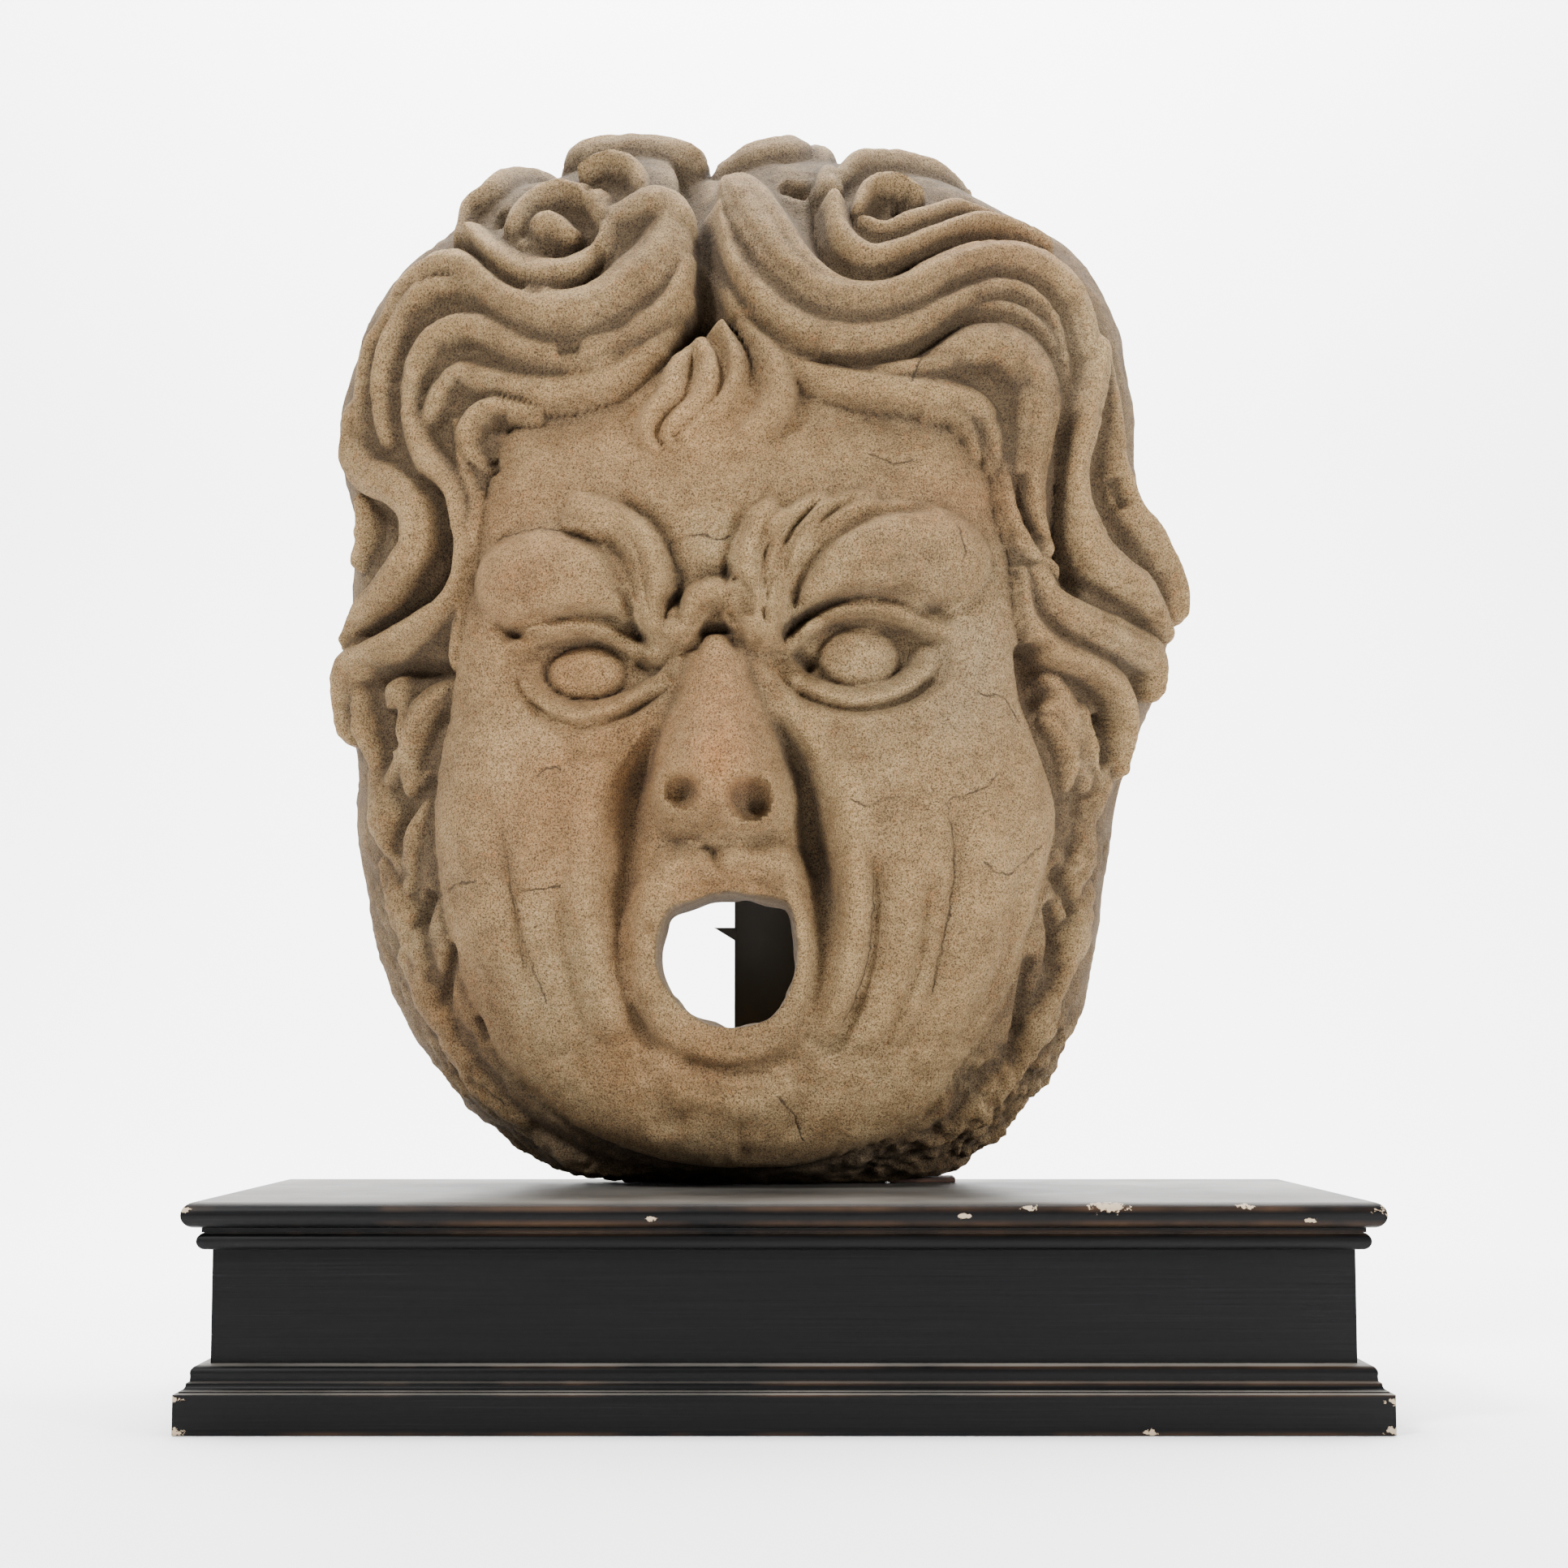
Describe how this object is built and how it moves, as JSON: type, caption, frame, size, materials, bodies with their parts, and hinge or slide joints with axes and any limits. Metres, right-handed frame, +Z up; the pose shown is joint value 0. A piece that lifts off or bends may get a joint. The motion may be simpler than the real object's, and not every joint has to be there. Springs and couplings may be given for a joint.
{
  "type": "fountain mask on plinth",
  "caption": "Carved sandstone fountain mask with curled hair, frowning brow and open round spout mouth, standing on a moulded black wooden plinth with a steel post behind.",
  "frame": {"origin": "middle of the plinth's underside", "axes": "+Z up, the face of the mask looks along -Y, +X to the right as seen from the front"},
  "size_m": [0.8046, 0.3926, 0.9804],
  "materials": {
    "sandstone": "worn gritty sandstone",
    "black_wood": "black painted wood, satin, rubbed edges",
    "black_steel": "black painted steel",
    "brown_wood": "rough dark wood"
  },
  "bodies": {
    "root": {"stone_mask": "sandstone", "plinth_top_board": "black_wood", "frieze_board_front": "black_wood", "frieze_board_right": "black_wood", "frieze_board_back": "black_wood", "frieze_board_left": "black_wood", "bed_moulding_front": "black_wood", "bed_moulding_right": "black_wood", "bed_moulding_back": "black_wood", "bed_moulding_left": "black_wood", "base_moulding_front": "black_wood", "base_moulding_right": "black_wood", "base_moulding_back": "black_wood", "base_moulding_left": "black_wood", "steel_support": "black_steel", "packing_wedge": "brown_wood"}
  },
  "joints": []
}
